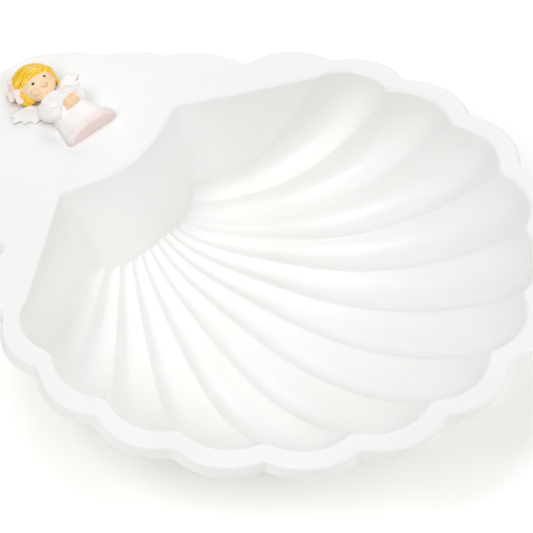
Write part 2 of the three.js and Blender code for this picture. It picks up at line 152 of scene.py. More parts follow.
# Hair: locks combed from a parting at one temple
HAIR_CENTRE, HAIR_RADII = Vector((0.5, 12.8, 4.3)), Vector((9.8, 8.3, 5.2))
CORE_SHIFT, CORE_INSET = Vector((0, 1.5, -0.3)), Vector((1.1, 2.2, 1.1))
PARTING = Vector((7.0, 13.2))
LOCK_RADIUS = 1.15
LOCK_ENDS = [
    # x, y, bow to the back, size: the swept fringe, then the short locks right of the parting
    (0.3, 10.3, 0.5, 0.85), (-1.3, 10.9, 0.9, 1.0), (-3.0, 11.2, 1.2, 1.05), (-4.7, 11.7, 1.6, 1.05),
    (-6.1, 12.2, 2.0, 1.05), (-7.3, 13.2, 2.4, 1.0), (2.2, 11.3, 0.3, 0.8), (4.2, 12.1, 0.1, 0.7),
    (6.4, 10.7, -0.1, 0.8), (7.6, 9.2, -0.4, 0.8), (8.5, 8.0, -0.6, 0.7),
]
BACK_LOCKS, BACK_LOCK_SIZE, BACK_LOCK_INSET = 12, 1.1, 0.7
BACK_START, BACK_SWEEP = 6, 166   # degrees round the back of the head
BACK_BOW, BACK_BOW_GAIN = 1.2, 1.6
SIDE_LOCKS = [
    [(-7.2, 12.6, 4.6), (-7.0, 10.2, 3.9), (-6.6, 8.1, 3.0), (-5.0, 6.2, 2.4)],
    [(-7.6, 13.0, 3.2), (-7.9, 10.4, 2.4), (-7.5, 8.5, 1.8), (-6.1, 6.7, 1.4)],
    [(7.4, 11.0, 5.0), (8.1, 9.0, 4.2), (8.1, 7.4, 3.4), (7.3, 6.2, 2.8)],
    [(8.6, 12.2, 3.0), (8.9, 9.9, 2.4), (8.6, 8.2, 1.8), (7.8, 6.9, 1.4)],
]
SIDE_SIZES = [1.45, 1.3, 0.75, 0.9]

# Bow and wings
BOW_KNOT, KNOT_RADII = Vector((-7.6, 15.9, 5.0)), (1.35, 1.35, 1.25)
BOW_LOOPS = [
    # path from the knot, size: two loops and then two tails
    ([(0, 0, -0.3), (1.5, 1.9, 0.5), (3.7, 3.8, -0.2)], 0.85),
    ([(0, 0, -0.3), (-0.7, -3.0, 0.1), (-1.7, -7.0, -2.4)], 1.0),
    ([(0, 0, -0.6), (-1.8, -1.3, -0.9), (-3.5, -3.2, -2.8)], 0.7),
    ([(0, 0, -0.6), (-1.7, 0.5, -1.4), (-3.0, 0.6, -3.0)], 0.6),
]
PLEAT_SHIFTS = (-1.1, 0.0, 1.1)
PLEAT_SPREAD = (0.35, 1.0, 0.8)   # how far apart the pleats are along their path
FEATHERS = [
    # root x, root y, tip x, tip y, width
    (4.8, 2.2, 12.3, 0.0, 3.2),
    (5.0, 3.4, 15.4, 2.9, 3.6),
    (5.4, 4.8, 18.2, 6.2, 3.8),
    (5.8, 6.0, 16.4, 8.5, 2.8),
]
FEATHER_HEIGHT, FEATHER_STEP, FEATHER_THICKNESS = 0.7, 0.13, 0.65
FEATHER_TILT = 0.02
WING_ROOT, WING_ROOT_RADII, WING_ROOT_TURN = (9.6, 4.1, 0.7), (5.6, 3.8, 0.9), 0.3

# Colours as sRGB values from 0 to 255; a pair is the two tones of an uneven surface
DISH_TONES = (248, 246, 243), (250, 249, 247)
CLOTH_TONES = (254, 250, 247), (252, 247, 244)
WING_TONES = (254, 250, 247), (252, 248, 245)
FACE_TONES = (255, 227, 188), (254, 222, 180)
HAND_TONES = (255, 221, 178), (254, 214, 168)
HAIR_TONES = (255, 212, 30), (255, 202, 10)
BOW_TONES = (255, 242, 238), (253, 232, 228)
HEM_COLOUR, HEM_END_COLOUR, CUFF_COLOUR = (252, 235, 231), (251, 228, 224), (252, 237, 234)
BLUSH_COLOUR, EYE_COLOUR, SMILE_COLOUR = (254, 212, 172), (22, 10, 6), (190, 118, 58)
STREAK_COLOUR = (248, 160, 0)
KNOT_COLOUR = (250, 214, 211)
FLOOR_COLOUR = (255, 254, 252)

# Camera and light, in metres and degrees
CAMERA_AIM = Vector((-0.004293, -0.017061, 0.045331))
CAMERA_DISTANCE = 1.99978
CAMERA_AZIMUTH = -47.469
CAMERA_ELEVATION = 46.683
CAMERA_LENS, SENSOR_WIDTH = 365.13, 36
CLIP_END = 20
SKY_STRENGTH = 0.0
LIGHT_COLOUR = (0.975, 0.99, 1.0)
LIGHTS = [
    # name, azimuth, elevation, distance, size, watts
    ("overhead", 180.0, 80.0, 1.4, 0.8, 5.5),
    ("left_softbox", -92.5, 52.0, 1.7, 1.0, 13.9),
    ("near_softbox", -47.5, 34.0, 1.7, 1.0, 1.9),
    ("front_softbox", -6.0, 54.0, 1.7, 1.0, 4.0),
    ("right_softbox", 42.5, 22.0, 1.7, 1.0, 10.4),
    ("back_softbox", 132.5, 29.0, 1.7, 1.0, 7.3),
]
FLOOR_GLOW = 0.14
FLOOR_SIZE = 6.0


# Small helpers

def lerp(start, end, share):
    return start + (end - start) * share


def unit(vectors):
    return vectors / np.linalg.norm(vectors, axis=-1, keepdims=True)


def linear(colour):
    """A linear RGBA colour from 0 to 255 sRGB values."""
    shares = [value / 255 for value in colour]
    return [s / 12.92 if s <= 0.04045 else ((s + 0.055) / 1.055) ** 2.4 for s in shares] + [1.0]


# Outlines

def turned(vector, angle):
    cos, sin = math.cos(angle), math.sin(angle)
    return np.array([cos * vector[0] - sin * vector[1], sin * vector[0] + cos * vector[1]])


def fan_point(radius, crest, crowding):
    angle = math.radians(NOTCH_STEP * crest - crowding * crest ** 3)
    return np.array([radius * math.sin(angle), FAN_CENTRE_Y - radius * math.cos(angle)])


def arc_points(start, end, rise_share, shares):
    """Points on the arc from start to end that bulges to the right of its run."""
    chord = np.linalg.norm(end - start)
    rise = rise_share * chord
    radius = (chord ** 2 / 4 + rise ** 2) / (2 * rise)
    angles = math.asin(chord / 2 / radius) * (2 * shares - 1)
    along = (end - start) / chord
    outward = turned(along, -math.pi / 2)
    forward = np.outer(chord / 2 + radius * np.sin(angles), along)
    return start + forward + np.outer(radius * np.cos(angles) - (radius - rise), outward)


def blunted(points, notch, coming, going, rounding):
    """The points moved outward near a notch, so that its corner is round."""
    outward = unit(going - coming)
    across = turned(outward, math.pi / 2)
    slope = abs(going @ outward) / abs(going @ across)
    aside = np.abs((points - notch) @ across)
    return points + np.outer(slope * (np.hypot(aside, rounding) - aside), outward)


def scallop_rows(notches, rises, shares, rounding, closed):
    """One array of points for each scallop between notches, with the notches between them round."""
    count = len(notches) if closed else len(notches) - 1
    ends = [(notches[i], notches[(i + 1) % len(notches)]) for i in range(count)]
    along = [unit(end - start) for start, end in ends]
    lean = [2 * math.atan(2 * rise) for rise in rises]
    rows = []
    for i, (start, end) in enumerate(ends):
        points = arc_points(start, end, rises[i], shares)
        before, after = i - 1, (i + 1) % count
        if closed or i > 0:
            coming, going = turned(along[before], lean[before]), turned(along[i], -lean[i])
            points = blunted(points, start, coming, going, rounding)
        if closed or i + 1 < count:
            coming, going = turned(along[i], lean[i]), turned(along[after], -lean[after])
            points = blunted(points, end, coming, going, rounding)
        rows.append(points)
    return rows


def outline_loop():
    """The dish's outline, counter-clockwise from the -X waist."""
    fan = [fan_point(NOTCH_RADIUS, i - SIDE_CREST, OUTLINE_CROWDING) for i in range(FLUTES + 1)]
    right = [np.array([x, y]) for x, y, _ in PLATE_NOTCHES]
    left = [np.array([-x, y]) for x, y, _ in reversed(PLATE_NOTCHES)]
    plate_rises = [rise for _, _, rise in PLATE_NOTCHES]
    rises = [FAN_RISE] * FLUTES + plate_rises + [REAR_RISE] + plate_rises[::-1]
    shares = np.arange(SCALLOP_STEPS) / SCALLOP_STEPS
    return np.concatenate(scallop_rows(fan + right + left, rises, shares, NOTCH_ROUNDING, True))


def moved_outward(loop, distance):
    """A counter-clockwise loop with each point moved outward along the bisector of its edges."""
    before = unit(loop - np.roll(loop, 1, axis=0))
    after = unit(np.roll(loop, -1, axis=0) - loop)
    normal_before = np.stack([before[:, 1], -before[:, 0]], -1)
    normal_after = np.stack([after[:, 1], -after[:, 0]], -1)
    bisector = unit(normal_before + normal_after)
    stretch = np.sum(bisector * normal_before, axis=1, keepdims=True)
    return loop + bisector * distance / np.maximum(stretch, LEAST_STRETCH)


def eased(curve, corner, reach):
    """The curve with one of its corners rounded over a distance on both sides."""
    place = np.concatenate([[0], np.cumsum(np.linalg.norm(np.diff(curve, axis=0), axis=1))])
    window = np.maximum(0, reach ** 2 - (place - place[corner]) ** 2) / (2 * reach)
    shifted = []
    for share in np.linspace(-1, 1, CORNER_SAMPLES):
        at = place + share * window
        shifted.append(np.column_stack([np.interp(at, place, curve[:, k]) for k in range(3)]))
    return np.mean(shifted, axis=0)


# Bowl skins

class Skin:
    """One skin of the bowl as grids of points, on columns that run from the hinge to the rim."""

    def __init__(self, plan):
        self.plan = plan
        steps = np.arange(plan.columns) / plan.columns
        shares = (1 - np.cos(np.pi * steps)) / 2
        notches = [fan_point(plan.rim_radius, i - SIDE_CREST, plan.crowding) for i in range(FLUTES + 1)]
        rises = [BAY_RISE] * FLUTES
        rows = scallop_rows(notches, rises, shares, BAY_ROUNDING, False)
        self.rim = np.concatenate(rows + [notches[-1:]])
        self.share = np.append(np.tile(shares, FLUTES), 0.0)
        self.flute = np.append(np.repeat(np.arange(FLUTES), plan.columns), FLUTES)
        self.side = (self.flute + self.share - SIDE_CREST) / SIDE_CREST
        self.start = self.start_points()
        self.start_width, self.rim_width = self.widths(self.start), self.widths(self.rim)

    def start_points(self):
        focus = np.array([0.0, self.plan.focus_y])
        ray = self.rim - focus
        angle = np.arctan2(ray[:, 0], -ray[:, 1])
        reach = self.plan.start_reach + START_FLARE * (angle / angle[-1]) ** 2
        return focus + unit(ray) * reach[:, None]

    def widths(self, points):
        crests = points[::self.plan.columns]
        widths = np.linalg.norm(np.diff(crests, axis=0), axis=1)
        return np.append(np.repeat(widths, self.plan.columns), widths[-1])

    def crest_depth(self, along):
        side = np.abs(self.side)
        deepest = self.plan.depth - SIDE_DEPTH_LOSS * side ** 4
        lift = START_LIFT - START_LIFT_LOSS * side ** 2
        before = np.maximum(0, DEEPEST_SHARE - along) / DEEPEST_SHARE
        after = np.maximum(0, along - DEEPEST_SHARE) / (1 - DEEPEST_SHARE)
        return deepest * (1 - lift * before ** 4 - after ** RIM_CLIMB)

    def flute_depth(self, along):
        width = lerp(self.start_width, self.rim_width, along)
        aside = 0.5 - np.abs(self.share - 0.5)
        blunt = (np.hypot(aside * width, CREST_ROUNDING) - CREST_ROUNDING) / width
        half = (np.hypot(0.5 * width, CREST_ROUNDING) - CREST_ROUNDING) / width
        ribbed = (1 - np.cos(2 * np.pi * self.share)) / 2
        sharp = 1 - (1 - blunt / half) ** 2
        section = lerp(ribbed, sharp, np.minimum(1, along / SHARP_FROM))
        fade = 1 - (np.maximum(0, along - 1 + FLUTE_FADE) / FLUTE_FADE) ** 2
        near_start = np.maximum(0, 1 - along / DEEP_START_REACH) ** 2
        depth = lerp(FLUTE_DEPTH, START_FLUTE_DEPTH, near_start)
        return depth * width * section * fade

    def points(self, along, fluted=True):
        """The points at one share of the way from start to rim, which may differ by column."""
        along = np.broadcast_to(along, self.share.shape)
        place = lerp(self.start, self.rim, along[:, None])
        flutes = self.flute_depth(along) if fluted else 0
        z = self.plan.top - self.crest_depth(along) - flutes
        return np.column_stack([place, np.maximum(0, z)])

    def bowl_rows(self):
        """Rows from the start to where the rim's fillet begins."""
        slant = np.linalg.norm(self.points(1.0) - self.points(RIM_PROBE), axis=1) / (1 - RIM_PROBE)
        last = 1 - self.plan.fillet / slant
        steps = 1 - (1 - np.arange(self.plan.rows + 1) / self.plan.rows) ** ROW_CROWDING
        return np.array([self.points(step * last) for step in steps])

    def hinge_points(self):
        bend = np.abs(self.side) ** HINGE_BEND
        y = lerp(self.plan.hinge_y, self.plan.corner_y, bend)
        return np.column_stack([self.side * self.plan.corner_x, y, np.full(len(y), self.plan.top)])

    def ear_points(self, corner, end, shares):
        bow = 4 * EAR_BOW * shares * (1 - shares)
        points = corner[:2] + np.outer(shares, end - corner[:2])
        return np.column_stack([points[:, 0], points[:, 1] - bow, np.full(len(shares), self.plan.top)])

    def wall_edges(self, bowl):
        """Top edge, smooth foot and fluted foot of the back wall, from the -X ear to the +X ear."""
        hinge = self.hinge_points()
        shares = np.linspace(0, 1, self.plan.rows + 1)[1:]
        left = self.ear_points(hinge[0], self.rim[0], shares)[::-1]
        right = self.ear_points(hinge[-1], self.rim[-1], shares)
        left_foot, right_foot = bowl[:0:-1, 0], bowl[1:, -1]
        top = np.concatenate([left, hinge, right])
        smooth = np.concatenate([left_foot, self.points(0.0, fluted=False), right_foot])
        foot = np.concatenate([left_foot, bowl[0], right_foot])
        for corner in (len(left), len(left) + len(hinge) - 1):
            top = eased(top, corner, TOP_CORNER_REACH)
            smooth = eased(smooth, corner, FOOT_CORNER_REACH)
        return top, smooth, foot

    def grids(self):
        """The bowl, the back wall and the fillets as grids, with the loop where the flat begins."""
        bowl = self.bowl_rows()
        top, smooth, foot = self.wall_edges(bowl)
        height = np.linalg.norm(smooth - top, axis=1)
        fillet = np.minimum(self.plan.fillet, MOST_FILLET * height) / np.maximum(height, 1e-6)
        # The wall runs out at its ends, where all of it is fillet
        fillet[[0, -1]] = 1.0
        stations = [fillet + (1 - fillet) * step for step in np.linspace(0, 1, WALL_ROWS)]
        wall = [top + (smooth - top) * station[:, None] for station in stations]
        wall += [lerp(smooth, foot, step / FOOT_ROWS) for step in range(1, FOOT_ROWS + 1)]
        edge = np.concatenate([self.points(1.0), top[::-1][1:-1]])
        tangent = np.concatenate([bowl[-1], wall[0][::-1][1:-1]])
        flat = moved_outward(edge[:, :2], self.plan.fillet)
        flat = np.column_stack([flat, np.full(len(flat), self.plan.top)])
        rows = []
        for step in range(FILLET_STEPS + 1):
            t = step / FILLET_STEPS
            rows.append(flat * (1 - t) ** 2 + edge * 2 * t * (1 - t) + tangent * t ** 2)
        return bowl, np.array(wall), np.array(rows), foot


# Pieces out of points and faces

class Shape:
    """Points in millimetres and faces, gathered from grids and rings."""

    def __init__(self):
        self.points = []
        self.faces = []

    def add_grid(self, rows, closed=False):
        first = len(self.points)
        count = len(rows[0])
        for row in rows:
            self.points.extend(tuple(point) for point in row)
        for j in range(len(rows) - 1):
            for i in range(count if closed else count - 1):
                a, b = first + j * count + i, first + j * count + (i + 1) % count
                self.faces.append((a, b, b + count, a + count))

    def add_flat_ring(self, outer, inner, z):
        first = len(self.points)
        loops = [[Vector((x, y, 0)) for x, y in loop] for loop in (outer, inner)]
        self.points.extend((p.x, p.y, z) for loop in loops for p in loop)
        for face in geometry.tessellate_polygon(loops):
            self.faces.append(tuple(first + index for index in face))

    def add_cap(self, ring):
        first = len(self.points)
        self.points.append(tuple(np.mean(ring, axis=0)))
        self.points.extend(tuple(point) for point in ring)
        for i in range(len(ring)):
            self.faces.append((first, first + 1 + i, first + 1 + (i + 1) % len(ring)))

    def mesh(self, weld=2e-3):
        """A bmesh with the points that lie together welded and the faces turned outward."""
        bm = bmesh.new()
        verts = [bm.verts.new(point) for point in self.points]
        for face in self.faces:
            bm.faces.new([verts[index] for index in face])
        bmesh.ops.remove_doubles(bm, verts=bm.verts, dist=weld)
        bmesh.ops.dissolve_degenerate(bm, edges=bm.edges, dist=weld / 4)
        bmesh.ops.recalc_face_normals(bm, faces=bm.faces)
        return bm


def object_from(bm, name, origin=Vector((0, 0, 0))):
    """A smooth-shaded object out of a bmesh in millimetres, which is freed."""
    bmesh.ops.translate(bm, verts=bm.verts, vec=origin)
    bmesh.ops.scale(bm, verts=bm.verts, vec=(MM, MM, MM))
    mesh = bpy.data.meshes.new(name)
    bm.to_mesh(mesh)
    bm.free()
    mesh.shade_smooth()
    piece = bpy.data.objects.new(name, mesh)
    bpy.context.scene.collection.objects.link(piece)
    return piece


def stand_for(piece, node, material):
    """The piece takes a CAD node's place and a material."""
    piece.data.materials.append(material)
    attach(piece, "root")
    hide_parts(node)


# Dish

def edge_rings(outline):
    """Rings round the flange's edge band, from the flat top over the rounded edges to the flat below."""
    top, bottom = PLATE_TOP, PLATE_TOP - FLANGE_THICKNESS
    profile = [(EDGE_RADIUS + SUPPORT_WIDTH, top)]
    for step in range(EDGE_STEPS + 1):
        angle = math.pi / 2 * step / EDGE_STEPS
        profile.append((EDGE_RADIUS * (1 - math.sin(angle)), top - EDGE_RADIUS * (1 - math.cos(angle))))
    mirrored = [(inset, top + bottom - z) for inset, z in reversed(profile)]
    rings = []
    for inset, z in profile + mirrored:
        loop = moved_outward(outline, -inset)
        rings.append(np.column_stack([loop, np.full(len(loop), z)]))
    return rings


def soften(bm, line, reach, passes):
    """Smooths the vertices near a line of points, most on the line itself."""
    tree = kdtree.KDTree(len(line))
    for i, point in enumerate(line):
        tree.insert(point, i)
    tree.balance()
    near = []
    for vert in bm.verts:
        distance = tree.find(vert.co)[2]
        if distance < reach:
            near.append((vert, SOFTENING_SHARE * (1 - distance / reach)))
    for _ in range(passes):
        moves = []
        for vert, share in near:
            around = [edge.other_vert(vert).co for edge in vert.link_edges]
            middle = sum(around, Vector()) / len(around)
            moves.append((vert, vert.co.lerp(middle, share)))
        for vert, place in moves:
            vert.co = place


def make_dish(material):
    shape = Shape()
    outline = outline_loop()
    rings = edge_rings(outline)
    feet = []
    shape.add_grid(rings, closed=True)
    for plan, ring in ((INNER_SKIN, rings[0]), (OUTER_SKIN, rings[-1])):
        bowl, wall, fillet, foot = Skin(plan).grids()
        shape.add_grid(bowl)
        shape.add_grid(wall)
        shape.add_grid(fillet, closed=True)
        support = moved_outward(fillet[0][:, :2], BOWL_SUPPORT_WIDTH)
        level = np.full(len(support), plan.top)
        shape.add_grid([np.column_stack([support, level]), fillet[0]], closed=True)
        shape.add_flat_ring(ring[:, :2], support, plan.top)
        feet.append(foot)
    bm = shape.mesh()
    soften(bm, feet[0], FOOT_SOFTENING, FOOT_PASSES)
    dish = object_from(bm, "moulded_dish")
    stand_for(dish, "shell_dish", material)


# Angel

def add_ellipsoid(bm, centre, radii, turn=0.0, tilt=0.0):
    place = Matrix.Translation(centre) @ Matrix.Rotation(turn, 4, "Z") @ Matrix.Rotation(tilt, 4, "Y")
    matrix = place @ Matrix.Diagonal((*radii, 1.0))
    bmesh.ops.create_uvsphere(bm, u_segments=40, v_segments=24, radius=1.0, matrix=matrix)


def smooth_path(points, count):
    """Points along a Catmull-Rom curve through the given ones."""
    points = np.array(points, dtype=float)
    ends = np.concatenate([[2 * points[0] - points[1]], points, [2 * points[-1] - points[-2]]])
    result = []
    for place in np.linspace(0, len(points) - 1 - 1e-9, count):
        i = int(place)
        t = place - i
        a, b, c, d = ends[i:i + 4]
        result.append(0.5 * (2 * b + (c - a) * t + (2 * a - 5 * b + 4 * c - d) * t ** 2
                             + (3 * b - a - 3 * c + d) * t ** 3))
    return np.array(result)


def add_loft(bm, rings):
    shape = Shape()
    shape.add_grid(rings, closed=True)
    shape.add_cap(rings[0])
    shape.add_cap(rings[-1])
    part = shape.mesh(weld=1e-4)
    mesh = bpy.data.meshes.new("loft")
    part.to_mesh(mesh)
    part.free()
    bm.from_mesh(mesh)
    bpy.data.meshes.remove(mesh)


def add_tube(bm, path, radii, steps, sides, flat=1.0):
    """A tube along a smooth path with round ends; flat stretches or squeezes its height."""
    centres = smooth_path(path, steps)
    sizes = np.interp(np.linspace(0, 1, steps), np.linspace(0, 1, len(radii)), radii)
    ends = np.minimum(np.arange(steps), np.arange(steps)[::-1]) / (steps * TUBE_ENDS)
    sizes = sizes * np.sqrt(1 - (1 - np.clip(ends, TUBE_TIP, 1)) ** 2)
    rings = []
    for i, centre in enumerate(centres):
        run = Vector(centres[min(i + 1, steps - 1)] - centres[max(i - 1, 0)]).normalized()
        aside = run.cross(Vector((0, 0, 1))).normalized()
        rise = aside.cross(run)
        ring = []
        for k in range(sides):
            angle = 2 * math.pi * k / sides
            across = aside * math.cos(angle) + rise * math.sin(angle) * flat
            ring.append(Vector(centre) + across * sizes[i])
        rings.append(ring)
    add_loft(bm, rings)


def fused(bm, voxel, passes):
    """The joined forms as one skin, smoothed like pressed clay and flat where it meets the plate."""
    mesh = bpy.data.meshes.new("raw")
    bm.to_mesh(mesh)
    bm.free()
    raw = bpy.data.objects.new("raw", mesh)
    bpy.context.scene.collection.objects.link(raw)
    modifier = raw.modifiers.new("skin", "REMESH")
    modifier.mode = "VOXEL"
    modifier.voxel_size = voxel
    result = bmesh.new()
    result.from_mesh(raw.evaluated_get(bpy.context.evaluated_depsgraph_get()).to_mesh())
    bpy.data.objects.remove(raw)
    bpy.data.meshes.remove(mesh)
    for _ in range(passes):
        bmesh.ops.smooth_vert(result, verts=result.verts, factor=0.5,
                              use_axis_x=True, use_axis_y=True, use_axis_z=True)
    for vert in result.verts:
        vert.co.z = max(vert.co.z, GLUE_LINE)
    return result


def make_clay(name, node, material, bm, voxel=CLAY_VOXEL, passes=4):
    piece = object_from(fused(bm, voxel, passes), name, ANGEL_ORIGIN)
    stand_for(piece, node, material)


def make_dress(material):
    """The long dress, with soft folds that deepen toward a slightly raised hem band."""
    ys, halves, heights = (np.array(column)[::-1] for column in zip(*DRESS_SECTIONS))
    rings = []
    for y in np.linspace(ys[-1], ys[0], DRESS_RINGS):
        down = max(0.0, min(1.0, (FOLD_START - y) / FOLD_RUN))
        band = HEM_RAISE if y < HEM_START else 0.0
        half, height = np.interp(y, ys, halves) + band, np.interp(y, ys, heights) + band
        ring = []
        for k in range(DRESS_SIDES + 1):
            angle = math.pi * k / DRESS_SIDES
            waves = (depth * down * math.cos(count * angle + phase) for depth, count, phase in FOLDS)
            fold = sum(waves, start=1)
            lean = HEM_SKEW * down * half * math.cos(angle)
            rise = height * math.sin(angle) ** DRESS_ROUNDNESS
            ring.append((half * math.cos(angle) * fold, y - lean, rise * fold))
        rings.append(ring)
    bm = bmesh.new()
    add_loft(bm, rings)
    make_clay("long_dress", "angel_dress", material, bm, passes=5)


def make_sleeve(side, name, material):
    """One full sleeve with a turned cuff at the wrist."""
    bm = bmesh.new()
    path = [(side * x, y, z) for x, y, z in SLEEVE_PATH]
    add_tube(bm, path, SLEEVE_RADII, steps=30, sides=24)
    wrist = Vector(path[-1]).lerp(Vector(path[-2]), CUFF_SHARE)
    add_ellipsoid(bm, wrist, CUFF_RADII, turn=side * CUFF_TURN, tilt=side * CUFF_TILT)
    make_clay(name.replace("angel_", "full_"), name, material, bm)


def make_hands(material):
    """Two folded hands: mitts laid together, each with its row of fingers, and a thumb on top."""
    bm = bmesh.new()
    run = Vector((math.cos(HAND_TURN), math.sin(HAND_TURN), 0))
    for centre in HAND_CENTRES:
        add_ellipsoid(bm, centre, HAND_RADII, turn=HAND_TURN)
        for k in range(FINGERS):
            along = run * (FINGER_START + FINGER_STEP * k)
            add_ellipsoid(bm, centre + along + Vector((0, 0, FINGER_LIFT)), FINGER_RADII, turn=HAND_TURN)
    add_ellipsoid(bm, THUMB_CENTRE, THUMB_RADII, turn=HAND_TURN)
    make_clay("folded_hands", "angel_hands", material, bm, voxel=0.14, passes=6)


def make_head(material):
    bm = bmesh.new()
    add_ellipsoid(bm, HEAD_CENTRE, HEAD_RADII)
    add_ellipsoid(bm, NOSE_CENTRE, (NOSE_RADIUS, NOSE_RADIUS, NOSE_RADIUS))
    for place in CHEEK_PLACES:
        add_ellipsoid(bm, place, CHEEK_RADII)
    make_clay("round_head", "angel_head", material, bm, voxel=0.18, passes=4)


def hair_height(x, y, sink):
    """Height of the hair's dome over a point, when the dome is shrunk by a distance."""
    radii = HAIR_RADII - Vector((sink, sink, sink))
    reach = ((x - HAIR_CENTRE.x) / radii.x) ** 2 + ((y - HAIR_CENTRE.y) / radii.y) ** 2
    return HAIR_CENTRE.z + radii.z * math.sqrt(max(0.0, 1 - reach))


def back_lock_ends():
    """Ends of the locks round the back of the head, in the form of LOCK_ENDS."""
    ends = []
    for k in range(BACK_LOCKS):
        angle = math.radians(BACK_START + BACK_SWEEP * k / (BACK_LOCKS - 1))
        x = HAIR_CENTRE.x + (HAIR_RADII.x - BACK_LOCK_INSET) * math.cos(angle)
        y = HAIR_CENTRE.y + (HAIR_RADII.y - BACK_LOCK_INSET) * math.sin(angle)
        ends.append((x, y, BACK_BOW + BACK_BOW_GAIN * k / BACK_LOCKS, BACK_LOCK_SIZE))
    return ends


def make_hair(material):
    """Combed locks from a parting at one temple: over the forehead, round the back, down the sides."""
    bm = bmesh.new()
    add_ellipsoid(bm, HAIR_CENTRE + CORE_SHIFT, HAIR_RADII - CORE_INSET)
    for x, y, bow, size in LOCK_ENDS + back_lock_ends():
        run = Vector((x, y)) - PARTING
        aside = Vector((run.y, -run.x)).normalized()
        path = []
        for share in (0, 0.2, 0.4, 0.6, 0.8, 1):
            place = PARTING + run * share + aside * bow * math.sin(math.pi * share)
            path.append((place.x, place.y, hair_height(place.x, place.y, LOCK_RADIUS)))
        sizes = [0.7 * size, LOCK_RADIUS * size, 1.1 * LOCK_RADIUS * size, 0.6 * size]
        add_tube(bm, path, sizes, steps=30, sides=12)
    for path, size in zip(SIDE_LOCKS, SIDE_SIZES):
        add_tube(bm, path, [0.8 * size, size, 0.9 * size, 0.6 * size], steps=22, sides=12)
    make_clay("combed_hair", "angel_hair", material, bm, voxel=0.15, passes=2)


def make_bow(material):
    """A soft ribbon bow: two pleated loops, two short tails and a knot."""
    bm = bmesh.new()
    for loop, size in BOW_LOOPS:
        run = (Vector(loop[-1]) - Vector(loop[0])).normalized()
        aside = run.cross(Vector((0, 0, 1))).normalized()
        for shift in PLEAT_SHIFTS:
            path = [
                tuple(BOW_KNOT + Vector(place) + aside * shift * size * spread)
                for place, spread in zip(loop, PLEAT_SPREAD)
            ]
            add_tube(bm, path, [0.45, 0.7 * size, 0.6 * size], steps=20, sides=12, flat=1.2)
    add_ellipsoid(bm, BOW_KNOT, KNOT_RADII)
    make_clay("ribbon_bow", "angel_bow", material, bm, voxel=0.13, passes=2)


def make_wing(side, name, material):
    """A wing of overlapping feathers, thick at the root and thin at the rounded tips."""
    bm = bmesh.new()
    for k, (root_x, root_y, tip_x, tip_y, width) in enumerate(FEATHERS):
        start, end = Vector((side * root_x, root_y)), Vector((side * tip_x, tip_y))
        run = end - start
        centre = Vector((*((start + end) / 2), FEATHER_HEIGHT + FEATHER_STEP * k))
        radii = (run.length / 2, width / 2, FEATHER_THICKNESS)
        add_ellipsoid(bm, centre, radii, turn=math.atan2(run.y, run.x), tilt=FEATHER_TILT)
    x, y, z = WING_ROOT
    add_ellipsoid(bm, Vector((side * x, y, z)), WING_ROOT_RADII, turn=side * WING_ROOT_TURN)
    make_clay(name.replace("angel_", "feathered_"), name, material, bm, passes=7)


# Materials

class Nodes:
    """A material's node tree with short ways to add to it."""

    def __init__(self, name, colour, roughness):
        self.material = bpy.data.materials.new(name)
        self.material.use_nodes = True
        self.tree = self.material.node_tree
        self.shader = self.tree.nodes["Principled BSDF"]
        self.shader.inputs["Base Color"].default_value = linear(colour)
        self.shader.inputs["Roughness"].default_value = roughness
        self.place = self.add("ShaderNodeTexCoord").outputs["Object"]

    def add(self, kind, inputs=(), **settings):
        node = self.tree.nodes.new(kind)
        for key, value in settings.items():
            setattr(node, key, value)
        for key, value in dict(inputs).items():
            if isinstance(value, bpy.types.NodeSocket):
                self.tree.links.new(value, node.inputs[key])
            else:
                node.inputs[key].default_value = value
        return node

    def link(self, output, key):
        self.tree.links.new(output, self.shader.inputs[key])

    def noise(self, scale, detail=2.0):
        node = self.add("ShaderNodeTexNoise", {"Vector": self.place, "Scale": scale, "Detail": detail})
        return node.outputs["Fac"]

    def ramp(self, value, low, high, to_low=0.0, to_high=1.0):
        inputs = {"Value": value, "From Min": low, "From Max": high, "To Min": to_low, "To Max": to_high}
        return self.add("ShaderNodeMapRange", inputs, interpolation_type="SMOOTHSTEP").outputs["Result"]

    def mix(self, share, first, second):
        node = self.add("ShaderNodeMix", data_type="RGBA")
        for key, value in ((0, share), (6, first), (7, second)):
            if isinstance(value, bpy.types.NodeSocket):
                self.tree.links.new(value, node.inputs[key])
            else:
                node.inputs[key].default_value = value
        return node.outputs[2]

    def angel_place(self):
        """The place in the angel's own frame, in millimetres."""
        scaled = self.vector("MULTIPLY", self.place, (1 / MM, 1 / MM, 1 / MM))
        return self.vector("SUBTRACT", scaled, ANGEL_ORIGIN)

    def vector(self, operation, *values):
        return self.add("ShaderNodeVectorMath", enumerate(values), operation=operation).outputs[0]

    def math(self, operation, *values):
        return self.add("ShaderNodeMath", enumerate(values), operation=operation).outputs[0]

    def distance(self, place, point, stretch=(1.0, 1.0, 1.0)):
        """Distance from a point, with each axis stretched first."""
        scaled = self.vector("MULTIPLY", self.vector("SUBTRACT", place, point), stretch)
        return self.add("ShaderNodeVectorMath", {0: scaled}, operation="LENGTH").outputs["Value"]

    def axis(self, place, name):
        return self.add("ShaderNodeSeparateXYZ", {0: place}).outputs[name]

    def bump(self, height, distance):
        inputs = {"Height": height, "Distance": distance}
        self.link(self.add("ShaderNodeBump", inputs).outputs["Normal"], "Normal")

    def coat(self, weight, roughness):
        self.shader.inputs["Coat Weight"].default_value = weight
        self.shader.inputs["Coat Roughness"].default_value = roughness


